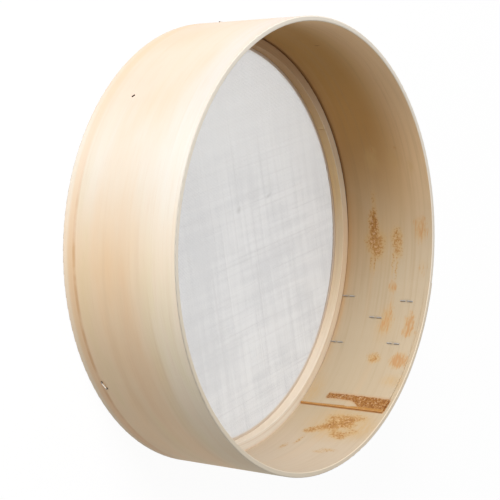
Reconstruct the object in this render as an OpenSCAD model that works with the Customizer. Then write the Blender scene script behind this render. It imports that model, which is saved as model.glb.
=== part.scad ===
// Round flour sieve of bent wood.
// A wide hoop, one strip bent round and lapped on itself, stands on its back edge and opens upwards.
// A narrow bent ring, pushed in near the back edge, stretches a wire cloth under it.
// +Z is the hoop's axis, the origin is the middle of the back edge, and lengths are in millimetres.
// Angles are in degrees round +Z from +X.

/* [Hoop] */
// Outside diameter of the hoop
hoop_d = 400; // [340:1:440]
// Height of the hoop from the back edge to the rim
hoop_h = 118; // [100:1:140]
// Thickness of the bent strip
hoop_wall = 4.5; // [3.5:0.1:6]
// Rounding of the hoop's edges
hoop_edge_r = 0.9; // [0.4:0.1:1.4]

/* [Lap joint of the hoop] */
// Angle of the strip's inner end, which shows inside the hoop
lap_inner_end = 37; // [20:1:60]
// Angle that the two ends lie over each other
lap_span = 43; // [36:1:55]
// Step that each thinned end leaves on the wall
lap_step = 1.5; // [0.5:0.1:1.8]
// Distance below the rim at which the inner end's step stops
lap_rim_gap = 4.5; // [3:0.5:14]
// Width of the open glue line under the inner end
lap_crack_w = 0.45; // [0.2:0.05:0.6]
// Depth of the open glue line
lap_crack_depth = 3; // [1:0.5:5]

/* [Inner ring] */
// Width of the ring, from its bore to its outside
ring_w = 8.8; // [6:0.1:12]
// Height of the ring
ring_h = 10; // [8:0.5:16]
// Rounding of the ring's edges
ring_edge_r = 0.6; // [0.4:0.1:2]
// Space between ring and hoop, where the cloth's wires are turned up
ring_gap = 1.2; // [1.1:0.1:2.5]
// Angle of the joint where the ring's two ends meet
ring_joint_at = 128; // [110:1:150]
// Width of that joint's line
ring_joint_w = 0.3; // [0.2:0.05:0.6]

/* [Wire cloth] */
// Height of the cloth's underside above the back edge
cloth_z = 8.3; // [6:0.1:14]
// Diameter of one wire
wire_d = 0.8; // [0.5:0.1:1]
// Distance from one wire to the next
wire_pitch = 21; // [21:1:40]
// Radius of the bend where a wire turns up, at its middle line
wire_bend_r = 1; // [0.6:0.1:1]
// Clearance between the two layers of wire, and between cloth and ring
wire_clear = 0.05; // [0.02:0.01:0.1]

/* [Staples] */
// Diameter of the staples' wire
staple_d = 1.2; // [0.8:0.1:1.4]
// Length of the crown of a staple through the lap
lap_crown = 13; // [11:0.5:16]
// Distance from the upper lap staples to the end of the step under the rim
lap_staple_gap = 11.8; // [6:0.1:16]
// Length of the bent-over end of each leg inside the lap
clinch = 5; // [3:0.5:5]
// Length of the crown of a staple into the ring
ring_crown = 7; // [5:0.5:9]
// Lean of the ring staples' crowns from level
ring_crown_lean = 22; // [0:1:30]
// Depth of the ring staples' legs in the ring
ring_bite = 5; // [3:0.5:5.5]
// Angle of the first ring staple
ring_staple_at = -54; // [-70:1:-50]
// Number of ring staples
ring_staples_n = 3; // [2:1:4]
// Clearance round a leg in its hole
leg_clear = 0.05; // [0.02:0.01:0.1]

/* [Pit in the hoop's wood] */
// Angle of the pit
pit_at = -127; // [-140:0.5:-120]
// Height of the pit above the back edge
pit_z = 36; // [30:1:60]
// Length of the pit
pit_l = 3.5; // [3:0.1:5]
// Width of the pit
pit_w = 2.2; // [1:0.1:2.5]
// Depth of the pit
pit_depth = 2.5; // [1:0.1:3]
// Lean of the pit's long side from level
pit_lean = 45; // [0:1:60]

/* [Hidden] */

hoop_r = hoop_d / 2;
hoop_in_r = hoop_r - hoop_wall;
lap_outer_end = lap_inner_end + lap_span;
// Each face of the lap is a circle of the wall's own radius, moved sideways by lap_shift
lap_shift = lap_step / sin(lap_span);
lap_lead = 2;
lap_root = 0.5;
lap_face_gap = 0.3;
lap_crack_start = 0.3;

ring_out_r = hoop_in_r - ring_gap;
ring_in_r = ring_out_r - ring_w;
ring_z = cloth_z + 2 * wire_d + 2 * wire_clear;
ring_top = ring_z + ring_h;

staple_r = staple_d / 2;
ring_staple_z = ring_z + ring_h / 2;
ring_staple_drop = ring_crown / 2 * sin(ring_crown_lean) + staple_r;
crown_lift = staple_r + ring_crown * ring_crown / (8 * hoop_r);

wire_r = wire_d / 2;
wire_end_r = hoop_in_r - ring_gap / 2;
wire_turn_top = ring_staple_z - ring_staple_drop - leg_clear - wire_d / 2;
wire_edge_share = 0.25;
wire_side_n = floor((ring_in_r - wire_edge_share * wire_pitch) / wire_pitch);
weft_z = cloth_z + wire_r;
warp_z = weft_z + wire_d + wire_clear;

lap_face_z = ring_top + lap_face_gap;
lap_low_z = ring_top + lap_crown / 2 + staple_r + leg_clear;
lap_high_z = hoop_h - lap_rim_gap - lap_staple_gap - lap_crown / 2;
// Each staple through the lap: degrees before the outer end, and share of the way up from lowest to highest
LAP_STAPLES = [[5.5, 0], [5.9, 1], [11.5, 0.54], [20.2, 0], [19.2, 0.95]];

hoop_fn = 240;
fine_fn = 24;
over = 1;

// Radius, at an angle, of a circle of radius r moved sideways towards the angle away
function moved_circle(r, angle, away) =
    lap_shift * cos(angle - away) + sqrt(r * r - pow(lap_shift * sin(angle - away), 2));
function lap_outside(angle) = moved_circle(hoop_r, angle, lap_inner_end + 90);
function lap_inside(angle) = moved_circle(hoop_in_r, angle, lap_outer_end + 90);

// Strip of width w and height h in section, with round edges
module round_section(w, h, r) {
    translate([0, r]) square([w, h - 2 * r]);
    translate([r, 0]) square([w - 2 * r, h]);
    for (x = [r, w - r], y = [r, h - r])
        translate([x, y]) circle(r, $fn = fine_fn);
}

module bent_strip(in_r, w, h, r) {
    rotate_extrude($fn = hoop_fn)
        translate([in_r, 0]) round_section(w, h, r);
}

// Wedge about the axis, from one angle to another
module wedge(from, to, low, high) {
    reach = hoop_d;
    translate([0, 0, low])
        linear_extrude(high - low)
            polygon([[0, 0], reach * [cos(from), sin(from)], reach * [cos(to), sin(to)]]);
}

module moved_cylinder(r, away, low, high) {
    translate([lap_shift * cos(away), lap_shift * sin(away), low])
        cylinder(r = r, h = high - low, $fn = hoop_fn);
}

// Thinned inner end of the strip, proud of the wall inside
module inner_lap() {
    high = hoop_h - lap_rim_gap;
    difference() {
        intersection() {
            wedge(lap_inner_end, lap_outer_end + lap_lead, lap_face_z, high);
            translate([0, 0, lap_face_z])
                cylinder(r = hoop_in_r + lap_root, h = high - lap_face_z, $fn = hoop_fn);
        }
        moved_cylinder(hoop_in_r, lap_outer_end + 90, lap_face_z - over, high + over);
    }
}

// Thinned outer end of the strip, proud of the wall outside
module outer_lap() {
    low = hoop_edge_r;
    high = hoop_h - hoop_edge_r;
    difference() {
        intersection() {
            wedge(lap_inner_end - lap_lead, lap_outer_end, low, high);
            moved_cylinder(hoop_r, lap_inner_end + 90, low, high);
        }
        translate([0, 0, low - over])
            cylinder(r = hoop_r - lap_root, h = high - low + 2 * over, $fn = hoop_fn);
    }
}

// Open glue line that runs under the inner end
module lap_crack() {
    rotate(lap_inner_end)
        translate([hoop_in_r - lap_crack_w, -over, lap_face_z + lap_crack_start])
            cube([lap_crack_w, lap_crack_depth + over, hoop_h - lap_rim_gap - lap_face_z - 2 * lap_crack_start]);
}

module pit() {
    spread = (pit_l - pit_w) / 2;
    rotate(pit_at)
        translate([hoop_r - pit_depth, 0, pit_z])
            rotate([-pit_lean, 0, 0])
                for (y = [-spread, spread])
                    translate([0, y, 0])
                        rotate([0, 90, 0])
                            cylinder(d = pit_w, h = pit_depth + over, $fn = fine_fn);
}

// Frame of a staple: x points out of the wall at radius r, and z runs along the crown
module at_wall(angle, r, z, lean) {
    rotate(angle)
        translate([r, 0, z])
            rotate([lean, 0, 0])
                children();
}

module wire_x(length) {
    rotate([0, 90, 0]) cylinder(r = staple_r, h = length, $fn = fine_fn);
}

module bend() {
    sphere(r = staple_r, $fn = fine_fn);
}

// Staple with its crown lift above the wall, legs down to depth, and ends bent over by fold
module staple(crown, lift, depth, fold) {
    translate([lift, 0, -crown / 2]) cylinder(r = staple_r, h = crown, $fn = fine_fn);
    for (side = [-1, 1])
        translate([0, 0, side * crown / 2]) {
            translate([lift, 0, 0]) bend();
            translate([-depth, 0, 0]) wire_x(depth + lift);
            translate([-depth, 0, 0]) bend();
            if (fold > 0) {
                translate([-depth, 0, side > 0 ? -fold : 0]) cylinder(r = staple_r, h = fold, $fn = fine_fn);
                translate([-depth, 0, -side * fold]) bend();
            }
        }
}

// Holes for a staple's legs, from outside the wall down to depth
module leg_holes(crown, depth) {
    for (side = [-1, 1])
        translate([-depth, 0, side * crown / 2])
            rotate([0, 90, 0])
                cylinder(r = staple_r + leg_clear, h = depth + 2 * over, $fn = fine_fn);
}

// Places a staple's parts at each spot of the lap, where $wall is the wood's thickness
module at_lap_staples() {
    for (spot = LAP_STAPLES) {
        angle = lap_outer_end - spot[0];
        $wall = lap_outside(angle) - lap_inside(angle);
        at_wall(angle, lap_outside(angle), lap_low_z + spot[1] * (lap_high_z - lap_low_z), 0)
            children();
    }
}

module at_ring_staples() {
    for (i = [0 : ring_staples_n - 1])
        at_wall(ring_staple_at + i * 360 / ring_staples_n, hoop_r, ring_staple_z, ring_crown_lean - 90)
            children();
}

// One wire of the cloth along x, at a distance across, with its two ends turned up behind the ring.
// Its straight part is cut to a whole tenth of a millimetre.
module cloth_wire(across, z) {
    reach = sqrt(wire_end_r * wire_end_r - across * across);
    straight = round(10 * (reach - wire_bend_r)) / 10;
    translate([-straight, across, z])
        rotate([0, 90, 0]) cylinder(r = wire_r, h = 2 * straight, $fn = fine_fn);
    for (side = [0, 1])
        mirror([side, 0, 0])
            translate([straight, across, z + wire_bend_r]) {
                rotate([90, 0, 0])
                    rotate(-90)
                        rotate_extrude(angle = 90, $fn = 4 * fine_fn)
                            translate([wire_bend_r, 0]) circle(wire_r, $fn = fine_fn);
                translate([wire_bend_r, 0, 0])
                    cylinder(r = wire_r, h = wire_turn_top - z - wire_bend_r, $fn = fine_fn);
            }
}

module cloth_layer(z) {
    for (i = [-wire_side_n : wire_side_n])
        cloth_wire(i * wire_pitch, z);
}

module main_hoop() {
    color([0.93, 0.84, 0.70])
        difference() {
            union() {
                bent_strip(hoop_in_r, hoop_wall, hoop_h, hoop_edge_r);
                inner_lap();
                outer_lap();
            }
            lap_crack();
            pit();
            at_lap_staples() leg_holes(lap_crown, $wall + over);
            at_ring_staples() leg_holes(ring_crown, hoop_wall + ring_gap / 2);
        }
}

module inner_ring() {
    color([0.86, 0.76, 0.62])
        difference() {
            translate([0, 0, ring_z]) bent_strip(ring_in_r, ring_w, ring_h, ring_edge_r);
            rotate(ring_joint_at)
                translate([ring_in_r - over, -ring_joint_w / 2, ring_z - over])
                    cube([ring_w + 2 * over, ring_joint_w, ring_h + 2 * over]);
            at_ring_staples() leg_holes(ring_crown, hoop_wall + ring_gap + ring_bite + staple_r);
        }
}

module warp_wires() {
    color([0.80, 0.80, 0.82]) rotate(90) cloth_layer(warp_z);
}

module weft_wires() {
    color([0.74, 0.74, 0.76]) cloth_layer(weft_z);
}

module lap_staples() {
    color([0.60, 0.60, 0.62])
        at_lap_staples() staple(lap_crown, staple_r, $wall + staple_r, clinch);
}

module ring_staples() {
    color([0.66, 0.66, 0.68])
        at_ring_staples() staple(ring_crown, crown_lift, hoop_wall + ring_gap + ring_bite - staple_r, 0);
}

main_hoop();
inner_ring();
warp_wires();
weft_wires();
lap_staples();
ring_staples();
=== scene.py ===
import math

import bpy
from mathutils import Matrix, Vector


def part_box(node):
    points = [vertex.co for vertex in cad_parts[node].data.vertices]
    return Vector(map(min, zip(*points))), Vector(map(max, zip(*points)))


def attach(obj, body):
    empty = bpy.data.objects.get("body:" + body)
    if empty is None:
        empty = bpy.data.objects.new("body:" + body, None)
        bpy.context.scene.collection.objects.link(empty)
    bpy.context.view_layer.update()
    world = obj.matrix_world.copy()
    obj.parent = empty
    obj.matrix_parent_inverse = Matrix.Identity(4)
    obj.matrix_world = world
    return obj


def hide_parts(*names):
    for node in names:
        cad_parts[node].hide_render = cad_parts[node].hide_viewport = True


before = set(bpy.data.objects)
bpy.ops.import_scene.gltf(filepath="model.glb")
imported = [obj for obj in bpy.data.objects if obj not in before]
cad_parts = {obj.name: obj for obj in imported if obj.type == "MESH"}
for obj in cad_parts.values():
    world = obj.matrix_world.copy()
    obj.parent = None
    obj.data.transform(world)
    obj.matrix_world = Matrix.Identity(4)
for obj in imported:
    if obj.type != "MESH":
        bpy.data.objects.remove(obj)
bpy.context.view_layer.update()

MM = 0.001


def mm(*lengths):
    """Lengths in millimetres, as a tuple in metres."""
    return tuple(length * MM for length in lengths)


# Sizes of the CAD pieces, taken from the frame
hoop_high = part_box("main_hoop")[1]
ring_low, ring_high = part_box("inner_ring")
weft_low, weft_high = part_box("weft_wires")
HOOP_R = hoop_high[1]
HOOP_H = hoop_high[2]
RING_OUT_R = ring_high[1]
RING_Z = ring_low[2]
RING_TOP = ring_high[2]
RING_MIDDLE_Z = (RING_Z + RING_TOP) / 2
CLOTH_Z = weft_low[2]
TURN_TOP = weft_high[2]

# Thicknesses that the boxes don't show, as in the source
HOOP_WALL = 4.5 * MM
RING_W = 8.8 * MM
HOOP_IN_R = HOOP_R - HOOP_WALL
RING_IN_R = RING_OUT_R - RING_W

# The lap and the ring's staples: angles in degrees from +X towards +Y
LAP_ANGLE = 37
STAPLE_ANGLE = -54
RING_STAPLES = 3

# The photograph's camera, as fitted to the two rims: its place from the rim's centre in hoop radii
PHOTO_SIZE = 500
FOCAL_PX = 1410
SENSOR_MM = 36
EYE = Vector((-0.116, -5.115, 3.417))
VIEW_DIRECTION = Vector((0.0221, 0.8020, -0.5969))
PHOTO_UP = Vector((-0.9992, 0.0, -0.0370))
CLIP_START = 0.01
CLIP_END = 50


def add_camera():
    data = bpy.data.cameras.new("photo_camera")
    data.sensor_width = SENSOR_MM
    data.lens = FOCAL_PX / PHOTO_SIZE * SENSOR_MM
    data.clip_start = CLIP_START
    data.clip_end = CLIP_END
    camera = bpy.data.objects.new("photo_camera", data)
    bpy.context.collection.objects.link(camera)
    back = -VIEW_DIRECTION.normalized()
    right = PHOTO_UP.cross(back).normalized()
    turned = Matrix((right, back.cross(right), back)).transposed().to_4x4()
    camera.matrix_world = Matrix.Translation(Vector((0, 0, HOOP_H)) + EYE * HOOP_R) @ turned
    bpy.context.scene.camera = camera


class Nodes:
    """A short way to write a node tree. A value is a number, a colour, a vector or a node's output."""

    def __init__(self, tree):
        self.tree = tree
        self.tree.nodes.clear()

    def new(self, kind, **settings):
        node = self.tree.nodes.new(kind)
        for key, value in settings.items():
            setattr(node, key, value)
        return node

    def put(self, socket, value):
        if isinstance(value, bpy.types.NodeSocket):
            self.tree.links.new(value, socket)
        elif socket.type == "RGBA" and len(value) == 3:
            socket.default_value = (*value, 1)
        else:
            socket.default_value = value

    def filled(self, kind, *values, out=0, **settings):
        """The output of a new node whose first inputs are these values."""
        node = self.new(kind, **settings)
        for socket, value in zip(node.inputs, values):
            self.put(socket, value)
        return node.outputs[out]

    def named(self, kind, values, out=0, **settings):
        """The output of a new node whose inputs are filled by name."""
        node = self.new(kind, **settings)
        for key, value in values.items():
            self.put(node.inputs[key], value)
        return node.outputs[out]

    def output(self, kind, shader):
        self.put(self.new(kind).inputs[0], shader)

    def math(self, operation, *values):
        return self.filled("ShaderNodeMath", *values, operation=operation)

    def times(self, first, *others):
        for other in others:
            first = self.math("MULTIPLY", first, other)
        return first

    def most(self, masks):
        result = masks[0]
        for mask in masks[1:]:
            result = self.math("MAXIMUM", result, mask)
        return result

    def vector(self, operation, *values, out=0):
        return self.filled("ShaderNodeVectorMath", *values, out=out, operation=operation)

    def length(self, vector):
        return self.vector("LENGTH", vector, out="Value")

    def parts(self, vector):
        node = self.new("ShaderNodeSeparateXYZ")
        self.put(node.inputs[0], vector)
        return node.outputs

    def join(self, x, y, z):
        return self.filled("ShaderNodeCombineXYZ", x, y, z)

    def noise(self, vector, scale=1.0, detail=3, rough=0.5, out=0):
        values = {"Vector": vector, "Scale": scale, "Detail": detail, "Roughness": rough}
        return self.named("ShaderNodeTexNoise", values, out=out)

    def step(self, value, low, high, to_low=0.0, to_high=1.0):
        """A smooth change from to_low to to_high as value goes from low to high."""
        values = {"Value": value, "From Min": low, "From Max": high, "To Min": to_low, "To Max": to_high}
        return self.named("ShaderNodeMapRange", values, interpolation_type="SMOOTHSTEP")

    def mix(self, factor, a, b, blend="MIX"):
        node = self.new("ShaderNodeMix", data_type="RGBA", blend_type=blend)
        colours = {socket.name: socket for socket in node.inputs if socket.type == "RGBA"}
        self.put(node.inputs["Factor"], factor)
        self.put(colours["A"], a)
        self.put(colours["B"], b)
        return [socket for socket in node.outputs if socket.type == "RGBA"][0]

    def bump(self, height, strength, distance):
        return self.named("ShaderNodeBump", {"Height": height, "Strength": strength, "Distance": distance})


# Coordinates that zones can use besides x, y, z and radius: what each is and where it is counted from
MEASURED_FROM = {
    "above_ring": ("z", RING_TOP),
    "from_rim": ("z", HOOP_H),
    "outward": ("radius", HOOP_R),
}
GRAIN_THROUGH = 3.0


def new_material(name):
    material = bpy.data.materials.new(name)
    material.use_nodes = True
    return material


class Material(Nodes):
    """A material's nodes, with zones and wood grain measured on the part itself."""

    def __init__(self, name):
        self.material = new_material(name)
        super().__init__(self.material.node_tree)
        self.place = self.new("ShaderNodeTexCoord").outputs["Object"]
        x, y, z = self.parts(self.place)
        self.known = {"x": x, "y": y, "z": z, "radius": self.length(self.join(x, y, 0.0))}

    def at(self, name):
        """A coordinate in metres, by its name."""
        if name not in self.known:
            base, start = MEASURED_FROM[name]
            self.known[name] = self.math("SUBTRACT", self.known[base], start)
        return self.known[name]

    def zone(self, *zones):
        """The product of zones: each a coordinate, where it begins and is full in mm, and its strengths."""
        return self.times(*[self.step(self.at(name), begins * MM, full * MM, *strengths)
                            for name, begins, full, *strengths in zones])

    def layered(self, color, *layers):
        """The colour under layers, each a colour and the zones in which it shows."""
        for over, *zones in layers:
            color = self.mix(self.zone(*zones), color, over)
        return color

    def grain(self, slow, fast, detail, rough=0.5):
        """Noise that changes slowly round the strip and fast across it."""
        x, y, z, radius = (self.at(name) for name in ("x", "y", "z", "radius"))
        across = self.math("ADD", z, self.times(radius, GRAIN_THROUGH))
        place = self.join(self.times(x, slow), self.times(y, slow), self.times(across, fast))
        return self.noise(place, detail=detail, rough=rough)

    def surface(self, **values):
        values = {key.replace("_", " "): value for key, value in values.items()}
        self.output("ShaderNodeOutputMaterial", self.named("ShaderNodeBsdfPrincipled", values))
        return self.material


def at_wall(angle, radius, z):
    a = math.radians(angle)
    return (radius * math.cos(a), radius * math.sin(a), z)


def spot(n, radius, angle, z, through, along, up, solid=0.0, place=None):
    """1 in the middle of an oval patch on a wall, falling to 0 at its edge.

    Its half sizes are given through, along and up the wall. It stays 1 out to the share solid of them.
    """
    node = n.new("ShaderNodeMapping", vector_type="TEXTURE")
    n.put(node.inputs["Vector"], n.place if place is None else place)
    node.inputs["Location"].default_value = at_wall(angle, radius, z)
    node.inputs["Rotation"].default_value = (0, 0, math.radians(angle))
    node.inputs["Scale"].default_value = (through, along, up)
    return n.step(n.length(node.outputs[0]), solid, 1.0, 1.0, 0.0)


def band(n, value, middle, half, soft):
    """1 within half of middle, falling to 0 over the width soft on either side."""
    return n.step(n.math("ABSOLUTE", n.math("SUBTRACT", value, middle)), half, half + soft, 1.0, 0.0)


NOISE_MEAN = 0.5
SHAKE_NOISE = (260, 4, 0.6)
PATCH_THROUGH = 9 * MM
PATCH_MOST = 1.15
PATCH_EDGE = (0.02, 0.22)


def ragged(n, reach):
    """The place, shaken by noise over about that reach, so that patches get irregular edges."""
    noise = n.noise(n.place, *SHAKE_NOISE, out="Color")
    shake = n.vector("MULTIPLY", n.vector("SUBTRACT", noise, (NOISE_MEAN,) * 3), (reach,) * 3)
    return n.vector("ADD", n.place, shake)


def wall_patches(n, patches, radius, place):
    """The sum of soft patches on a wall, from a list of angles, heights, half sizes and strengths."""
    result = 0.0
    for angle, z, along, up, strength in patches:
        patch = spot(n, radius, angle, z * MM, PATCH_THROUGH, along * MM, up * MM, place=place)
        result = n.math("MULTIPLY_ADD", patch, strength, result)
    return n.math("MINIMUM", result, PATCH_MOST)


def broken(n, patches, grains, pull, begins, full, share):
    """Patches that are whole in the middle and break up into grains towards their edges."""
    shaken = n.math("MULTIPLY_ADD", n.math("SUBTRACT", grains, NOISE_MEAN), pull, patches)
    return n.times(n.step(shaken, begins, full), n.step(patches, *PATCH_EDGE), share)


# Zones below give a coordinate, where the zone begins and where it is full in mm, and its strength at these
# two places if not 0 and 1. Towards -X is up in the photograph, and towards -Y is nearer to its camera.
# Grain is how fast it changes round and across the strip, its detail, and its roughness if not 0.5.
# Names in _SHOWN give where noise begins to show and where it shows fully, and its strength at these two.

# Grain of the hoop
GRAIN_TAN = (0.70, 0.48, 0.28)
BROAD_GRAIN = (2.2, 18, 2)
BAND_GRAIN = (4, 70, 2)
FINE_GRAIN = (8, 600, 2)
FIBRE_GRAIN = (50, 2200, 2)
BANDS_SHOWN = (0.52, 0.8, 0.0, 0.25)
FINE_SHOWN = (0.45, 0.8, 0.0)
FINE_BY_HEIGHT = ("z", 60, 100, 0.07, 0.16)
FINE_INSIDE = 0.35
FIBRE_SHOWN = (0.5, 0.8, 0.0, 0.08)

# Outside of the hoop: tan, paler near the rim; on the near side towards the lamp a paler, less saturated
# copy as painted sheen, and near the rim on the low side a greyer, darker copy as painted shade
OUT_TAN = (0.86, 0.665, 0.455)
OUT_RIMWARD = (0.95, 0.83, 0.67)
OUT_LOW_RIMWARD_SHADE = (0.71, 0.61, 0.46)
OUT_BACK_EDGE = (0.90, 0.76, 0.60)
OUT_CREAM_LIT = (0.785, 0.725, 0.64)
OUT_CREAM_LIT_RIM = (0.80, 0.78, 0.73)
OUT_TOP_LIT = (0.76, 0.605, 0.495)
OUT_TOP_LIT_RIM = (0.77, 0.63, 0.575)
SOFT_ORANGE = (0.80, 0.51, 0.30)
PEACH_TINT = (1.0, 0.88, 0.74)
STRAW_TINT = (0.95, 0.97, 0.86)
TO_LIGHT = (-0.83, -0.56)
WAVE = 50 * MM
RIMWARD = ("wavy", 70, 118)
LOW_SIDE = ("x", 90, 185)
BACK_ZONE = ("z", 9, 2, 0.0, 0.9)
BY_RIM = ("z", 80, 112)
LIT_SIDE = ("lit", 90, 170)
TOP_SIDE = ("x", -60, -140)
NEAR_SIDE = ("y", 30, -50)
MOTTLED_GRAIN = (7, 34, 3, 0.55)
PEACH_SHOWN = (0.42, 0.68, 0.0, 0.4)
STRAW_SHOWN = (0.52, 0.34, 0.0)
STRAW_SIDE = ("x", -100, 60, 0.2, 0.6)
BLOTCHES_SHOWN = (0.3, 0.6, 0.5, 0.9)
# The orange streak in the middle of the wall, the stripe near its back edge and the crease in the stripe:
# middle, half width and softness
STREAK_PLACE = mm(67, 2, 14)
STREAK_SIDE = ("x", -70, 40, 0.0, 0.6)
STREAK_SHOWN = (0.3, 0.6, 0.2, 0.6)
STRIPE_PLACE = mm(9.5, 2, 4)
STRIPE_SIDE = ("lit", 190, 60, 0.42, 0.58)
STRIPE_SHARE = 0.75
CREASE_PLACE = mm(12.5, 0.5, 2)
CREASE_SPAN = mm(60, 50, 100)
CREASE_NOISE_SCALE = 60
CREASE_SHOWN = (0.3, 0.6, 0.15, 0.5)

# Inside of the hoop: darker than the outside, partly as painted shade; light at the lap's foot, brown on the
# far side of the lap and near the ring, with painted shade towards the top and the ring, and painted light
# near the rim and at the foot
# The inside's wood is darker than the outside's, partly as painted shade
IN_LIGHT = (0.575, 0.465, 0.32)
IN_LIGHT_RIM = (0.62, 0.505, 0.355)
IN_BROWN = (0.545, 0.30, 0.095)
IN_TOP_BROWN_SHADE = (0.455, 0.25, 0.07)
IN_RIMWARD_LIT = (0.92, 0.67, 0.41)
IN_FOOT_LIT = (0.64, 0.525, 0.395)
IN_GRAIN = (0.40, 0.26, 0.12)
# Painted shade beside the ring: a brown contact band, an orange strip that is also a warm tint, and a dark
# line over the gap
CONTACT_SHADE_BROWN = (0.56, 0.36, 0.18)
STRIP_SHADE_ORANGE = (0.60, 0.37, 0.17)
GAP_SHADE_BROWN = (0.24, 0.115, 0.04)
IN_BY_RIM = ("z", 75, 115)
BROWN_SIDE = ("x", 35, -130)
EASED_HEIGHT = ("z", 80, 115)
EASED_SIDE = ("x", -120, -60, 0.0, 0.4)
# Brown with painted shade, stronger low on the wall towards the ring
BROWN_LOW_SHADE = ("z", 90, 20, 0.0, 0.6)
BROWN_LOW_SHADE_SIDE = ("x", 90, -60)
# Layers over the inner wall: a colour and the zones in which it shows
INNER_LAYERS = (
    # Painted shade at the top, over brown wood; painted light near the rim on the top side and at the foot
    (IN_TOP_BROWN_SHADE, ("x", -120, -180)),
    (IN_RIMWARD_LIT, ("z", 60, 124), ("x", -10, -140)),
    (IN_FOOT_LIT, ("x", 155, 195)),
    # Painted shade along the ring: the contact band, the orange strip with its warm tint, and the dark gap
    # line on the top side
    (CONTACT_SHADE_BROWN, ("above_ring", 9, 3, 0.0, 0.12), ("x", 170, 100)),
    (STRIP_SHADE_ORANGE, ("above_ring", 4.5, 3), ("x", 130, 60), ("x", 20, -100, 0.4, 0.2)),
    (GAP_SHADE_BROWN, ("above_ring", 2.5, 1.2, 0.0, 0.6), ("x", -20, -100)),
)
INNER_GRAIN = (9, 300, 3)
INNER_SHOWN = (0.46, 0.72, 0.0)
INNER_GRAIN_SIDE = ("x", 150, 50, 0.1, 0.22)
# Between these radii the inside's look gives way to the outside's
WALL_SPLIT = (HOOP_IN_R + 1.6 * MM, HOOP_IN_R + 3 * MM, 1.0, 0.0)

# The two edges of the hoop
RIM_CREAM = (0.93, 0.85, 0.73)
RIM_TAN = (0.85, 0.74, 0.58)
RIM_LOW = (0.90, 0.76, 0.58)
RIM_GREY = (0.74, 0.68, 0.59)
BACK_GREY = (0.50, 0.43, 0.36)
BACK_FACE = ("z", 1.4, 0.6, 0.0, 0.5)
RIM_FACE = ("from_rim", -0.9, -0.3)
RIM_CORNER = ("outward", -1.1, -0.5, 0.0, 0.2)
RIM_TAN_SIDE = ("x", -20, 100)
RIM_FAR_SIDE = ("y", -50, 80)

# Stains, and painted shade in holes and the pit
RUST = (0.46, 0.215, 0.05)
DARK_RUST = (0.25, 0.09, 0.02)
SPECK_CREAM = (0.76, 0.54, 0.32)
ORANGE = (0.58, 0.29, 0.11)
TAN_STAIN = (0.62, 0.40, 0.17)
STAPLE_GREY = (0.36, 0.31, 0.24)
HOLE_SHADE = (0.16, 0.075, 0.025)
PIT_SHADE = (0.07, 0.05, 0.03)
STAIN_SHAKE = 7 * MM
BAND_SHAKE = 3.5 * MM
GRAINS_NOISE = (520, 3, 0.65)
BRUSHED_GRAIN = (110, 700, 3)
SPECKS_NOISE = (380, 1)
BAND_SPECKS_NOISE = (620, 1)
TAN_SHOWN = (0.3, 0.6, 0.4, 0.8)
ORANGE_HALO = (0.0, 0.7, 0.0, 0.4)
RUST_HALO = (0.0, 0.6, 0.0, 0.55)
# How far the grains pull a stain's edge, where it begins and is full, and its share
ORANGE_BROKEN = (3.2, 0.3, 1.1, 0.75)
RUST_BROKEN = (2.4, 0.3, 0.85, 0.8)
DARK_RUST_BROKEN = (3.0, 0.85, 1.35, 0.55)
SPECKS_SHOWN = (0.55, 0.66)
SPECKED_RUST = (0.35, 0.9, 0.0, 0.5)
MARKS_SHOWN = (0.3, 0.6, 0.2, 0.6)

# Patches on the walls: angle in degrees, height, half length round the wall, half height, strength
RUST_STAINS = [
    (96.8, 49.8, 18, 8.5, 1.7),
    (91.2, 52.5, 20, 18, 1.0),
    (87.5, 55, 12, 12, 0.35),
    (103, 51, 24, 4, 0.45),
    (84.5, 48.5, 14, 2.6, 0.5),
    (84, 52.5, 16, 2.2, 0.5),
    (92.8, 77.3, 16, 11, 0.75),
    (88.6, 79, 14, 11, 0.5),
    (84.5, 74, 18, 2.6, 0.45),
    (83.5, 78.5, 20, 2.4, 0.5),
    (55.5, 76, 10, 12, 0.65),
    (32.6, 66, 9, 12, 0.55),
    (32.9, 76, 10, 13, 0.65),
    (33.4, 87, 10, 13, 0.7),
    (33.8, 98, 8, 13, 0.45),
    (25.9, 52, 8, 10, 0.7),
    (27.2, 60, 9, 11, 0.65),
    (29.2, 67, 11, 11, 0.8),
    (29.6, 76, 11, 13, 0.9),
    (30.8, 87, 12, 13, 0.85),
    (26.3, 80, 10, 12, 0.6),
    (25, 90, 11, 12, 0.75),
    (27.6, 98, 10, 11, 0.5),
    (15.8, 46, 13, 5, 0.45),
    (20.3, 53, 15, 4.5, 0.5),
    (17.3, 93, 6, 15, 0.45),
    (15.5, 86, 6, 13, 0.4),
]
TAN_STAINS = [
    (30, 78, 42, 50, 0.9),
    (29, 108, 30, 14, 0.5),
    (66.7, 76, 28, 18, 0.5),
    (91, 62, 50, 34, 0.5),
    (48.5, 106, 12, 18, 0.7),
    (116, 56, 18, 12, 0.8),
    (116, 83, 14, 10, 0.6),
    (114, 100, 12, 7, 0.5),
    (42, 28, 30, 14, 0.6),
]
ORANGE_STAINS = [
    (97.5, 50.3, 16, 5, 1.3),
    (119.1, 60.5, 8, 6, 0.6),
    (119.3, 86.6, 6, 4, 0.45),
    (104, 53.5, 34, 2.5, 0.5),
    (95.2, 104, 22, 13, 0.75),
    (84, 108, 16, 10, 0.35),
    (78.2, 76.5, 10, 9, 0.65),
    (67.5, 77, 24, 11, 0.68),
    (73, 78, 30, 6, 0.3),
    (67.5, 103.5, 20, 9, 0.95),
    (64.8, 104, 10, 14, 0.5),
    (55.4, 104, 14, 14, 1.5),
    (55.6, 76, 12, 15, 0.4),
]
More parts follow.
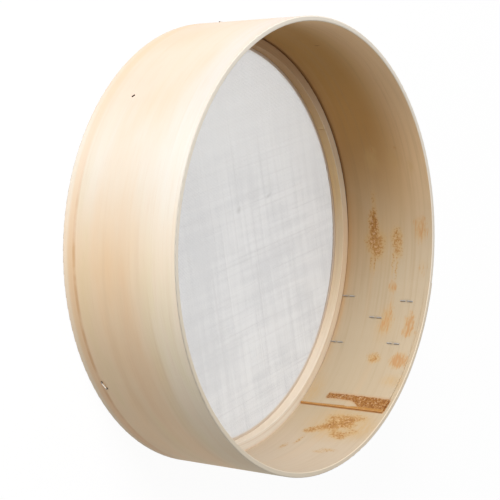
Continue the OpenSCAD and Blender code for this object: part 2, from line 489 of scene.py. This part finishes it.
PEACH_BLOTCHES = [
    (-124, 63, 36, 20, 0.5),
    (-152, 40, 46, 26, 0.5),
    (-139, 92, 40, 12, 0.3),
    (-84, 50, 50, 14, 0.3),
    (-60, 84, 40, 12, 0.4),
]

# Where the ends of the lap's staples greyed the wood: angle and height, and the mark's half sizes
STAPLE_MARKS = [(74.5, 27.3), (74.1, 95.2), (68.5, 64), (59.8, 27.3), (60.8, 91.8)]
MARK_SIZE = mm(9, 3.2, 9)

# Single spots: angle, height, and half sizes through, along and up the wall
RUST_HOLE = (28.4, *mm(83, 9, 5, 5))
RUST_HOLE_DEPTH = 0.5
PALE_SPOT = (38.2, *mm(74.5, 9, 3.4, 5.5))
PALE_SOLID = 0.5
PALE_SHARE = 0.85
SLIT = (161.5, *mm(64, 2, 1.1, 4.2))
PIT = (-127, *mm(36, 2.1, 3, 3))
PIT_SINK = 1.9 * MM
PIT_SOLID = 0.8

# The two holes of a ring staple: turn and rise from their middle, its height, and half sizes
HOLE_TURN = 0.93
HOLE_RISE = 1.3 * MM
HOLE_Z = 15 * MM
HOLE_SIZE = mm(2, 1.5, 1.5)
HOLE_SOLID = 0.4
HALO_SIZE = mm(2, 8, 4)
HALO_SHARE = 0.35
HOLE_SHADE_SHARE = 0.85

# The stain above the lap's end: its lower edge's angle at first and near the rim, and its upper edge's
BAND_LOWER = (math.radians(40.0), math.radians(37.7))
BAND_UPPER = math.radians(41.9)
BAND_WIDENS = mm(73, 88)
BAND_BEGINS = mm(43.5, 46.5)
BAND_STOPS = ("z", 115, 114.2)
# How far the stain's halo and its core reach past those edges, and how soft they are
BAND_HALO = mm(1.6, 2.5)
BAND_HALO_SHARE = 0.45
BAND_CORE = mm(0.0, 0.8)
BAND_RUST_SHOWN = (0.34, 0.44, 0.5, 1.0)
BAND_DARK_SHOWN = (0.44, 0.58, 0.25, 0.95)
BAND_SPECKS_SHOWN = (0.56, 0.66, 0.0, 0.5)

# The lap's end inside: the stained lip on its edge, the line beside it and the open crack, painted light
# orange against its own shade
LIP_TAN = (0.48, 0.23, 0.055)
LINE_BROWN = (0.32, 0.14, 0.04)
CRACK_LIT = (0.70, 0.36, 0.13)
PALE = (0.60, 0.46, 0.30)
LAP_TOP = ("from_rim", -3.5, -5)
LIP_WIDTH = ("z", 30, 100, 1.9 * MM, 3.6 * MM)
LIP_EDGE = (1.0, 0.7)
LIP_BEGINS = mm(-0.3, 0.0)
LIP_SHOWN = (0.35, 0.55, 0.75, 1.0)
LINE_PLACE = mm(-0.45, 0.25, 0.35)
LINE_BY_HEIGHT = ("z", 30, 90, 0.6, 0.9)
CRACK_PLACE = mm(0.0, 0.25, 0.1)

# Finish of the wood
HOOP_ROUGHNESS = 0.62
RING_ROUGHNESS = 0.6
WOOD_SPECULAR = 0.3
WOOD_BUMP = (0.2, 0.3 * MM)
FINE_BUMP = 0.6
FIBRE_BUMP = 0.4


def outer_wall(n, bands):
    """Mottled tan wood with an orange streak and stripe, pale towards the rim; painted sheen makes it creamy
    towards the lamp, and painted shade greys it near the rim on the low side.
    """
    rimward = n.layered(OUT_RIMWARD, (OUT_LOW_RIMWARD_SHADE, LOW_SIDE))
    cream = n.layered(OUT_CREAM_LIT, (OUT_CREAM_LIT_RIM, BY_RIM))
    top = n.layered(OUT_TOP_LIT, (OUT_TOP_LIT_RIM, BY_RIM))
    # Painted sheen: paler, less saturated copies on the near side towards the lamp; painted shade: greyer
    # near the rim on the low side
    color = n.layered(OUT_TAN, (rimward, RIMWARD), (OUT_BACK_EDGE, BACK_ZONE),
                      (cream, LIT_SIDE, NEAR_SIDE), (top, TOP_SIDE, NEAR_SIDE))
    mottled = n.grain(*MOTTLED_GRAIN)
    color = n.mix(n.step(mottled, *PEACH_SHOWN), color, PEACH_TINT, blend="MULTIPLY")
    color = n.mix(n.step(mottled, *STRAW_SHOWN, n.zone(STRAW_SIDE)), color, STRAW_TINT, blend="MULTIPLY")
    blotches = n.times(wall_patches(n, PEACH_BLOTCHES, HOOP_R, n.place), n.step(bands, *BLOTCHES_SHOWN))
    color = n.mix(blotches, color, PEACH_TINT, blend="MULTIPLY")
    streak = n.times(band(n, n.at("wavy"), *STREAK_PLACE), n.zone(STREAK_SIDE),
                     n.step(bands, *STREAK_SHOWN))
    stripe = n.times(band(n, n.at("z"), *STRIPE_PLACE), n.zone(STRIPE_SIDE))
    color = n.mix(n.times(n.most([streak, stripe]), STRIPE_SHARE), color, SOFT_ORANGE)
    crease = n.times(band(n, n.at("z"), *CREASE_PLACE), band(n, n.at("x"), *CREASE_SPAN),
                     n.step(n.noise(n.place, CREASE_NOISE_SCALE), *CREASE_SHOWN))
    return n.mix(crease, color, ORANGE)


def inner_wall(n):
    """Light wood at the lap's foot, brown on the far side, with painted shade towards the top and the ring,
    painted light near the rim and at the foot, layers near the ring and fine lines.
    """
    color = n.layered(IN_LIGHT, (IN_LIGHT_RIM, IN_BY_RIM))
    eased = n.math("SUBTRACT", 1.0, n.zone(EASED_HEIGHT, EASED_SIDE))
    brown = n.most([n.times(n.zone(BROWN_SIDE), eased), n.zone(BROWN_LOW_SHADE, BROWN_LOW_SHADE_SIDE)])
    color = n.layered(n.mix(brown, color, IN_BROWN), *INNER_LAYERS)
    lines = n.step(n.grain(*INNER_GRAIN), *INNER_SHOWN, n.zone(INNER_GRAIN_SIDE))
    return n.mix(lines, color, IN_GRAIN)


def grained(n, color, inside, bands, fine, fibre):
    """Bands, fine lines and fibres of the wood on both walls; the fine lines are weaker inside."""
    color = n.mix(n.step(bands, *BANDS_SHOWN), color, GRAIN_TAN)
    strength = n.times(n.zone(FINE_BY_HEIGHT), n.step(inside, 0.0, 1.0, 1.0, FINE_INSIDE))
    color = n.mix(n.step(fine, *FINE_SHOWN, strength), color, GRAIN_TAN)
    return n.mix(n.step(fibre, *FIBRE_SHOWN), color, RUST)


def edged(n, color):
    """The greyed back edge, and the rim's pale face with its greyer outer corner."""
    low_rim = n.layered(RIM_TAN, (RIM_LOW, RIM_FAR_SIDE))
    rim = n.layered(RIM_CREAM, (low_rim, RIM_TAN_SIDE))
    return n.layered(color, (BACK_GREY, BACK_FACE), (rim, RIM_FACE), (RIM_GREY, RIM_FACE, RIM_CORNER))


def lap_band(n, place, grow, soft):
    """The long stain above the lap's end: thin at first, wider towards the rim, cut off along the rim."""
    x, y, z = n.parts(place)
    angle = n.math("ARCTAN2", y, x)
    grow, soft = grow / HOOP_IN_R, soft / HOOP_IN_R
    lower = n.step(z, *BAND_WIDENS, *BAND_LOWER)
    above = n.step(n.math("SUBTRACT", angle, lower), -grow - soft, -grow + soft)
    top = BAND_UPPER + grow
    under = n.step(angle, top - soft, top + soft, 1.0, 0.0)
    return n.times(above, under, n.step(z, *BAND_BEGINS), n.zone(BAND_STOPS))


def stained(n, color, grains, frayed):
    """The inner wall's tan, orange and rusty stains, the staples' marks and the stain above the lap."""
    place = ragged(n, STAIN_SHAKE)
    brushed = n.grain(*BRUSHED_GRAIN)
    tan = wall_patches(n, TAN_STAINS, HOOP_IN_R, place)
    color = n.mix(n.times(tan, n.step(brushed, *TAN_SHOWN)), color, TAN_STAIN)
    orange = wall_patches(n, ORANGE_STAINS, HOOP_IN_R, place)
    color = n.mix(n.step(orange, *ORANGE_HALO), color, TAN_STAIN)
    color = n.mix(broken(n, orange, brushed, *ORANGE_BROKEN), color, ORANGE)

    rust = wall_patches(n, RUST_STAINS, HOOP_IN_R, place)
    rust = n.math("SUBTRACT", rust, n.times(spot(n, HOOP_IN_R, *RUST_HOLE), RUST_HOLE_DEPTH))
    color = n.mix(n.step(rust, *RUST_HALO), color, TAN_STAIN)
    color = n.mix(broken(n, rust, grains, *RUST_BROKEN), color, RUST)
    color = n.mix(broken(n, rust, grains, *DARK_RUST_BROKEN), color, DARK_RUST)
    specks = n.times(n.step(n.noise(n.place, *SPECKS_NOISE), *SPECKS_SHOWN), n.step(rust, *SPECKED_RUST))
    color = n.mix(specks, color, SPECK_CREAM)

    marks = n.most([spot(n, HOOP_IN_R, angle, z * MM, *MARK_SIZE) for angle, z in STAPLE_MARKS])
    color = n.mix(n.times(marks, n.step(grains, *MARKS_SHOWN)), color, STAPLE_GREY)

    color = n.mix(n.times(lap_band(n, frayed, *BAND_HALO), BAND_HALO_SHARE), color, ORANGE)
    core = lap_band(n, frayed, *BAND_CORE)
    color = n.mix(n.times(core, n.step(grains, *BAND_RUST_SHOWN)), color, RUST)
    color = n.mix(n.times(core, n.step(grains, *BAND_DARK_SHOWN)), color, DARK_RUST)
    specks = n.step(n.noise(n.place, *BAND_SPECKS_NOISE), *BAND_SPECKS_SHOWN)
    return n.mix(n.times(core, specks), color, SPECK_CREAM)


def lap_line(n, color, inside, grains, frayed):
    """The lap's end inside: its stained lip, the dark line beside it, the open crack painted light against
    its shade, and a pale chip.
    """
    turn = math.radians(LAP_ANGLE)
    x, y = n.at("x"), n.at("y")
    past = n.math("SUBTRACT", n.times(y, math.cos(turn)), n.times(x, math.sin(turn)))
    facing = n.times(n.math("GREATER_THAN", x, 0.0), inside, n.zone(LAP_TOP))
    lip = n.times(n.step(n.math("DIVIDE", past, n.zone(LIP_WIDTH)), *LIP_EDGE), n.step(past, *LIP_BEGINS),
                  facing, n.step(grains, *LIP_SHOWN))
    color = n.mix(lip, color, LIP_TAN)
    line = n.times(band(n, past, *LINE_PLACE), facing, n.zone(LINE_BY_HEIGHT))
    color = n.mix(line, color, LINE_BROWN)
    # Painted light inside the crack, against its own shade
    color = n.mix(n.times(band(n, past, *CRACK_PLACE), facing), color, CRACK_LIT)
    pale = n.times(spot(n, HOOP_IN_R, *PALE_SPOT, solid=PALE_SOLID, place=frayed), inside, PALE_SHARE)
    return n.mix(pale, color, PALE)


def small_marks(n, color):
    """A slit inside and the holes of the ring staple in view, with painted shade; a rust halo round that
    staple, also the painted shade of its dent; and painted shade in the pit outside.
    """
    slit = spot(n, HOOP_IN_R, *SLIT)
    holes = [spot(n, HOOP_R, STAPLE_ANGLE + side * HOLE_TURN, HOLE_Z + side * HOLE_RISE, *HOLE_SIZE,
                  solid=HOLE_SOLID) for side in (-1, 1)]
    halo = spot(n, HOOP_R, STAPLE_ANGLE, HOLE_Z, *HALO_SIZE)
    # Rust halo, and also the painted shade of the staple's dent
    color = n.mix(n.times(halo, HALO_SHARE), color, RUST)
    # Painted shade in the staple's holes and the slit
    color = n.mix(n.times(n.most([*holes, slit]), HOLE_SHADE_SHARE), color, HOLE_SHADE)
    # Painted shade inside the pit
    return n.mix(spot(n, HOOP_R - PIT_SINK, *PIT, solid=PIT_SOLID), color, PIT_SHADE)


def hoop_wood():
    n = Material("hoop_wood")
    grains_of_wood = (BROAD_GRAIN, BAND_GRAIN, FINE_GRAIN, FIBRE_GRAIN)
    broad, bands, fine, fibre = [n.grain(*settings) for settings in grains_of_wood]
    n.known["lit"] = n.math("ADD", n.times(n.at("x"), TO_LIGHT[0]), n.times(n.at("y"), TO_LIGHT[1]))
    n.known["wavy"] = n.math("ADD", n.at("z"), n.times(n.math("SUBTRACT", broad, NOISE_MEAN), WAVE))
    inside = n.step(n.at("radius"), *WALL_SPLIT)
    grains = n.noise(n.place, *GRAINS_NOISE)
    frayed = ragged(n, BAND_SHAKE)

    color = n.mix(inside, outer_wall(n, bands), inner_wall(n))
    color = edged(n, grained(n, color, inside, bands, fine, fibre))
    color = n.mix(inside, color, stained(n, color, grains, frayed))
    color = small_marks(n, lap_line(n, color, inside, grains, frayed))

    height = n.math("ADD", n.times(fine, FINE_BUMP), n.times(fibre, FIBRE_BUMP))
    return n.surface(Base_Color=color, Roughness=HOOP_ROUGHNESS, Specular_IOR_Level=WOOD_SPECULAR,
                     Normal=n.bump(height, *WOOD_BUMP))


# The ring: its top face, its bore, and the layers over each: lit copies of its colour towards the foot and
# where the hoop shades the top face, painted shade towards the top
RING_LIT_BOTTOM = (0.96, 0.84, 0.69)
RING_FOOT_LIT = (1.0, 0.94, 0.84)
RING_MIDDLE = (0.96, 0.78, 0.57)
RING_LIT_IN_SHADE = (0.97, 0.86, 0.69)
RING_PAINTED_SHADE = (0.49, 0.31, 0.16)
RING_BORE = (0.86, 0.69, 0.47)
RING_BORE_WARM = (0.93, 0.68, 0.37)
BELOW_TOP_FACE = ("above_ring", -0.5, -0.2, 1.0, 0.0)
TOP_FACE = ("above_ring", -0.5, -0.2)
BORE_SIDE = ("x", 120, 0)
TOP_FACE_LAYERS = (
    # Painted shade towards the top; lighter copies as painted light where the hoop shades the face and at
    # the foot
    (RING_MIDDLE, ("x", 140, -20)),
    (RING_LIT_IN_SHADE, ("x", -10, -60)),
    (RING_PAINTED_SHADE, ("x", -100, -180, 0.0, 0.9)),
    (RING_FOOT_LIT, TOP_FACE, ("x", 130, 170)),
)
BORE_LAYERS = (
    # Painted shade on the bore towards the top
    (RING_BORE_WARM, ("x", -10, -60)),
    (RING_PAINTED_SHADE, ("x", -70, -175)),
)
RING_BAND_GRAIN = (4, 160, 4, 0.6)
RING_FINE_GRAIN = (9, 900, 3)
RING_BANDS_SHOWN = (0.45, 0.75, 0.0, 0.3)
RING_FINE_SHOWN = (0.45, 0.8, 0.0, 0.2)


def ring_wood():
    n = Material("ring_wood")
    bands, fine = n.grain(*RING_BAND_GRAIN), n.grain(*RING_FINE_GRAIN)
    # Lit and shaded copies of the ring's colour along x
    top_face = n.layered(RING_LIT_BOTTOM, *TOP_FACE_LAYERS)
    bore = n.layered(RING_BORE, *BORE_LAYERS)
    color = n.layered(top_face, (bore, BELOW_TOP_FACE, BORE_SIDE))
    color = n.mix(n.step(bands, *RING_BANDS_SHOWN), color, GRAIN_TAN)
    color = n.mix(n.step(fine, *RING_FINE_SHOWN), color, GRAIN_TAN)
    return n.surface(Base_Color=color, Roughness=RING_ROUGHNESS, Specular_IOR_Level=WOOD_SPECULAR,
                     Normal=n.bump(fine, *WOOD_BUMP))


# Staples: ends inside, crowns outside; a ring staple's crown is dark with painted shade at its ends, and its
# middle, with a painted glint, has these half sizes
END_GREY = (0.52, 0.52, 0.53)
CROWN_DARK = (0.22, 0.20, 0.18)
CROWN_GLINT = (0.95, 0.88, 0.79)
CROWN_SIZE = mm(6, 3.4, 3.4)
CROWN_SOLID = 0.6
DULL_NOISE = (900, 3)
DULL_SHOWN = (0.45, 0.75, 0.0, 0.4)
# Where flour hides a lap staple's end: angle, height, half height, and the half sizes through and along
FLOURED_STAPLES = [(68.5, 64, 2.4), (60.8, 91.8, 2.0), (74.5, 27.6, 1.8)]
FLOUR_SIZE = mm(4, 3)
FLOUR_SOLID = 0.5
STAPLE_METAL = (0.5, 0.9)
STAPLE_ROUGHNESS = 0.35
STAPLE_BUMP = (0.2, 0.1 * MM)


def staple_steel():
    """Painted glint in the middle of the ring staples' crowns outside the hoop, painted shade towards their
    ends, dull on the ends that lie inside.
    """
    n = Material("staple_wire")
    dull = n.noise(n.place, *DULL_NOISE)
    crowns = n.most([spot(n, HOOP_R, STAPLE_ANGLE + i * 360 / RING_STAPLES, RING_MIDDLE_Z, *CROWN_SIZE,
                          solid=CROWN_SOLID) for i in range(RING_STAPLES)])
    floured = n.most([spot(n, HOOP_IN_R, angle, z * MM, *FLOUR_SIZE, half * MM, solid=FLOUR_SOLID)
                      for angle, z, half in FLOURED_STAPLES])
    color = n.mix(n.step(n.at("radius"), HOOP_IN_R, HOOP_R), END_GREY, CROWN_DARK)
    # Dark outside with painted shade at the crown ends; a painted glint in the middle of each ring staple's
    # crown
    color = n.mix(crowns, color, CROWN_GLINT)
    color = n.mix(n.step(dull, *DULL_SHOWN), color, CROWN_DARK)
    color = n.mix(floured, color, IN_LIGHT)
    metal = n.times(n.step(n.at("radius"), HOOP_IN_R, HOOP_R, *STAPLE_METAL),
                    n.math("SUBTRACT", 1.0, floured))
    return n.surface(Base_Color=color, Roughness=STAPLE_ROUGHNESS, Metallic=metal,
                     Normal=n.bump(dull, *STAPLE_BUMP))


# Looks of the cloth
CLOTH_TURN = 15
CLOTH_LIGHT = (0.93, 0.945, 0.96)
CLOTH_DARK = (0.76, 0.775, 0.80)
CLOTH_LIT = (0.98, 1.0, 1.0)
CLOTH_SHADED = (0.665, 0.68, 0.70)
THREAD_GREY = (0.62, 0.62, 0.64)
SMUDGE_GREY = (0.45, 0.45, 0.44)
LIT_CREAM = (0.82, 0.71, 0.60)
BORDER_PEACH = (0.80, 0.62, 0.45)
BORDER_FOOT_LIT = (0.96, 0.82, 0.67)
# Streaks along its wires: how fast they change along the two directions, offset, detail, and roughness
ROWS = (9, 130, 0.0, 4, 0.65)
COLUMNS = (110, 7, 3.0, 4, 0.65)
LINES = (6, 520, 5.0, 1)
CROSSING = (520, 6, 8.0, 1)
PATCHY_NOISE = (16, 2)
STREAKS_BY_PATCH = (0.3, 0.7, 0.44, 0.56)
STREAKS_SHOWN = (0.36, 0.64)
THREADS_SHOWN = (0.52, 0.75, 0.0, 0.36)
CLOTH_LAYERS = (
    # Painted shade on the near side, and painted light towards the top where the hoop shades the cloth
    (CLOTH_SHADED, ("y", 30, -45, 0.0, 0.45)),
    (CLOTH_LIT, ("x", -20, -140, 0.0, 0.75)),
)
# Grey smudges: angle, distance from the axis, two half sizes
CLOTH_SMUDGES = [(124, 82, 7, 3), (145, 38, 6, 4)]
SMUDGE_UP = 20 * MM
SMUDGE_SHARE = 0.5
# Radii where the cloth is painted cream beside the ring, as painted light over the shade there, and where
# its border begins behind the ring
BESIDE_RING = (RING_IN_R - 5 * MM, RING_IN_R - 1 * MM)
BEHIND_RING = (RING_OUT_R - 0.2 * MM, RING_OUT_R)
BORDER_HEIGHT = ("above_ring", -4, -3)
# Painted shade on the border in the gap, darkest on the top side; painted light at its foot
BORDER_LAYERS = (
    (CONTACT_SHADE_BROWN, ("x", 120, 20)),
    (BORDER_FOOT_LIT, ("x", 120, 160)),
    (GAP_SHADE_BROWN, ("x", 20, -50)),
)
CLOTH_ROUGHNESS = 0.4


def woven(n, u, v, fast_u, fast_v, offset, detail, rough=0.5):
    """Noise drawn out along the cloth's wires."""
    return n.noise(n.join(n.times(u, fast_u), n.times(v, fast_v), offset), detail=detail, rough=rough)


def cloth_wire():
    n = Material("cloth_wire")
    turn = math.radians(CLOTH_TURN)
    x, y = n.at("x"), n.at("y")
    u = n.math("ADD", n.times(x, math.cos(turn)), n.times(y, math.sin(turn)))
    v = n.math("SUBTRACT", n.times(y, math.cos(turn)), n.times(x, math.sin(turn)))
    rows, columns = woven(n, u, v, *ROWS), woven(n, u, v, *COLUMNS)
    lines, crossing = woven(n, u, v, *LINES), woven(n, u, v, *CROSSING)
    patchy = n.noise(n.place, *PATCHY_NOISE)
    streaks = n.times(n.math("ADD", rows, columns), n.step(patchy, *STREAKS_BY_PATCH))
    color = n.mix(n.step(streaks, *STREAKS_SHOWN), CLOTH_LIGHT, CLOTH_DARK)
    color = n.mix(n.step(n.most([lines, crossing]), *THREADS_SHOWN), color, THREAD_GREY)
    # Painted shade on the near side and painted light towards the top
    color = n.layered(color, *CLOTH_LAYERS)
    smudges = n.most([spot(n, r * MM, angle, CLOTH_Z, through * MM, along * MM, SMUDGE_UP)
                      for angle, r, through, along in CLOTH_SMUDGES])
    color = n.mix(n.times(smudges, SMUDGE_SHARE), color, SMUDGE_GREY)
    # Painted light: cream and not metal beside the ring, over its shade and dark reflection
    beside = n.step(n.at("radius"), *BESIDE_RING)
    color = n.mix(beside, color, LIT_CREAM)
    # The border behind the ring: painted shade in the gap and painted light at its foot
    behind = n.times(n.step(n.at("radius"), *BEHIND_RING), n.zone(BORDER_HEIGHT))
    color = n.mix(behind, color, n.layered(BORDER_PEACH, *BORDER_LAYERS))
    return n.surface(Base_Color=color, Roughness=CLOTH_ROUGHNESS, Metallic=n.math("SUBTRACT", 1.0, beside))


# Shape of the fine cloth: its wires and how they turn up behind the ring
UP = Vector((0, 0, 1))
WIRE_PITCH = 1.25 * MM
WIRE_R = 0.185 * MM
WIRE_BEND = 0.9 * MM
WIRE_BEND_STEPS = 2
WIRE_END_R = (HOOP_IN_R + RING_OUT_R) / 2
WIRE_SIDES = 4
WIRE_CLEAR = 0.03 * MM
OUTERMOST_WIRE_R = RING_OUT_R - 3 * MM
# The border that fills the gap between ring and hoop, and the room it leaves for a ring staple's legs
BORDER_TOP = RING_TOP - 0.05 * MM
BORDER_THICK = HOOP_IN_R - RING_OUT_R - 0.1 * MM
BORDER_OVER_LEGS = RING_MIDDLE_Z + 2.4 * MM
LEGS_REACH = 7 * MM
# A cream strip laid on the cloth under the ring: painted light over the shade there
LIT_STRIP_REACH = 2.2 * MM
LIT_STRIP_TOP = RING_Z - 0.15 * MM
LIT_STRIP_LOW = RING_Z - 0.45 * MM
HOOP_STEPS = 180


def add_object(name, material, points, faces):
    mesh = bpy.data.meshes.new(name)
    mesh.from_pydata(points, [], faces)
    mesh.materials.append(material)
    made = bpy.data.objects.new(name, mesh)
    bpy.context.collection.objects.link(made)
    return made


def add_hoop_piece(name, material, inner_r, outer_r, low, top):
    """A closed flat-sided hoop; low gives its lower height at an angle in degrees."""
    points, faces = [], []
    for k in range(HOOP_STEPS):
        angle = 360 * k / HOOP_STEPS
        corners = ((inner_r, low(angle)), (outer_r, low(angle)), (outer_r, top), (inner_r, top))
        points += [at_wall(angle, radius, z) for radius, z in corners]
        here, ahead = len(corners) * k, len(corners) * ((k + 1) % HOOP_STEPS)
        for side in range(len(corners)):
            after = (side + 1) % len(corners)
            faces.append((here + side, ahead + side, ahead + after, here + after))
    return add_object(name, material, points, faces)


def border_low(angle):
    """The turned-up border's lower edge: on the wires' ends, but over the legs of the ring's staples."""
    apart = 360 / RING_STAPLES
    off = (angle - STAPLE_ANGLE + apart / 2) % apart - apart / 2
    return BORDER_OVER_LEGS if math.radians(abs(off)) * HOOP_R < LEGS_REACH else TURN_TOP


def wire_end(reach, z):
    """Half a wire's route from the side: round the bend and up behind the ring, as distance and height."""
    bends = [math.pi / 2 * k / WIRE_BEND_STEPS for k in range(WIRE_BEND_STEPS + 1)]
    return [(reach - WIRE_BEND + WIRE_BEND * math.sin(t), z + WIRE_BEND - WIRE_BEND * math.cos(t))
            for t in bends] + [(reach, TURN_TOP)]


def add_tube(points, faces, route, way, side_way, shift):
    """Adds a thin tube with closed ends to a mesh. Its route is given as distance along way and height."""
    first = len(points)
    for k, (u, h) in enumerate(route):
        before, after = route[max(k - 1, 0)], route[min(k + 1, len(route) - 1)]
        tangent = (way * (after[0] - before[0]) + UP * (after[1] - before[1])).normalized()
        out = tangent.cross(side_way)
        for s in range(WIRE_SIDES):
            t = 2 * math.pi * (s + 0.5) / WIRE_SIDES
            points.append(way * u + shift + UP * h + WIRE_R * (math.cos(t) * out + math.sin(t) * side_way))
    for k in range(len(route) - 1):
        ring = first + k * WIRE_SIDES
        for s in range(WIRE_SIDES):
            p, q = ring + s, ring + (s + 1) % WIRE_SIDES
            faces.append((p, q, q + WIRE_SIDES, p + WIRE_SIDES))
    last = first + (len(route) - 1) * WIRE_SIDES
    faces.append(tuple(first + s for s in reversed(range(WIRE_SIDES))))
    faces.append(tuple(last + s for s in range(WIRE_SIDES)))


def cloth_layer(name, material, z, turn):
    """All the wires that run one way, as one mesh of thin tubes."""
    a = math.radians(turn)
    way, side_way = Vector((math.cos(a), math.sin(a), 0)), Vector((-math.sin(a), math.cos(a), 0))
    points, faces = [], []
    count = int(OUTERMOST_WIRE_R / WIRE_PITCH)
    for i in range(-count, count + 1):
        across = i * WIRE_PITCH
        end = wire_end(math.sqrt(WIRE_END_R ** 2 - across ** 2), z)
        route = [(-u, h) for u, h in reversed(end)] + end
        add_tube(points, faces, route, way, side_way, side_way * across)
    piece = add_object(name, material, points, faces)
    piece.data.shade_smooth()
    return piece


def add_cloth():
    material = cloth_wire()
    z = RING_Z - WIRE_CLEAR - WIRE_R
    warp = cloth_layer("fine_warp", material, z, CLOTH_TURN + 90)
    weft = cloth_layer("fine_weft", material, z - 2 * WIRE_R, CLOTH_TURN)
    border = add_hoop_piece("cloth_border", material, WIRE_END_R - BORDER_THICK / 2,
                            WIRE_END_R + BORDER_THICK / 2, border_low, BORDER_TOP)
    # A cream strip under the ring's bore, as painted light over the shade there
    lit_strip = add_hoop_piece("cloth_edge", material, RING_IN_R - LIT_STRIP_REACH, RING_IN_R + LIT_STRIP_REACH,
                           lambda angle: LIT_STRIP_LOW, LIT_STRIP_TOP)
    replaced = ((weft, "weft_wires"), (warp, "warp_wires"), (border, "warp_wires"), (lit_strip, "warp_wires"))
    for piece, node in replaced:
        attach(piece, "root")
        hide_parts(node)


def dress(node, material):
    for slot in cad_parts[node].material_slots:
        slot.material = material


FLOOR_WHITE = 0.8
FLOOR_GLOW = 1.06
FLOOR_GLOW_SHARE = 0.88
FLOOR_HALF = 8.0
FLOOR_SUNK = 0.5 * MM


def seen_by(n, *rays):
    """1 for these kinds of ray, 0 for the others."""
    path = n.new("ShaderNodeLightPath")
    return n.most([path.outputs[ray] for ray in rays])


def add_floor():
    """A pale floor that shows white to the camera and still takes the object's shadow."""
    material = new_material("floor")
    n = Nodes(material.node_tree)
    diffuse = n.named("ShaderNodeBsdfDiffuse", {"Color": (FLOOR_WHITE,) * 3})
    glow = n.named("ShaderNodeEmission", {"Strength": FLOOR_GLOW})
    share = n.times(seen_by(n, "Is Camera Ray", "Is Glossy Ray"), FLOOR_GLOW_SHARE)
    n.output("ShaderNodeOutputMaterial", n.filled("ShaderNodeMixShader", share, diffuse, glow))
    corners = [(FLOOR_HALF * x, FLOOR_HALF * y, 0) for x, y in ((-1, -1), (1, -1), (1, 1), (-1, 1))]
    floor = add_object("floor", material, corners, [(0, 1, 2, 3)])
    floor.location.z = -FLOOR_SUNK


WHITE = (1, 1, 1)
SKY_SOFT = 0.42
SKY_SEEN = 1.0
# The key lamp: its direction in degrees, its distance, size and power, and the point that it looks at
KEY_TURN = 53
KEY_RISE = 20
KEY_FAR = 2.4
KEY_SIZE = 1.2
KEY_POWER = 50
KEY_AIM = Vector(mm(0, 0, 60))


def add_key_lamp():
    data = bpy.data.lights.new("key", "AREA")
    data.shape = "DISK"
    data.size = KEY_SIZE
    data.energy = KEY_POWER
    lamp = bpy.data.objects.new("key", data)
    bpy.context.collection.objects.link(lamp)
    turn, rise = math.radians(KEY_TURN), math.radians(KEY_RISE)
    toward = Vector((-math.sin(turn) * math.cos(rise), -math.cos(turn) * math.cos(rise), math.sin(rise)))
    lamp.location = KEY_AIM + KEY_FAR * toward
    lamp.rotation_mode = "QUATERNION"
    lamp.rotation_quaternion = (-toward).to_track_quat("-Z", "Y")


def add_sky():
    """A soft even light that shows as plain white where it is seen or mirrored."""
    world = bpy.data.worlds.new("studio")
    bpy.context.scene.world = world
    world.use_nodes = True
    n = Nodes(world.node_tree)
    seen = seen_by(n, "Is Camera Ray", "Is Glossy Ray", "Is Transmission Ray")
    sky = {"Color": WHITE, "Strength": n.step(seen, 0.0, 1.0, SKY_SOFT, SKY_SEEN)}
    n.output("ShaderNodeOutputWorld", n.named("ShaderNodeBackground", sky))


add_camera()
dress("main_hoop", hoop_wood())
dress("inner_ring", ring_wood())
staples = staple_steel()
dress("lap_staples", staples)
dress("ring_staples", staples)
add_cloth()
add_floor()
add_sky()
add_key_lamp()
bpy.context.scene.view_settings.view_transform = "Standard"
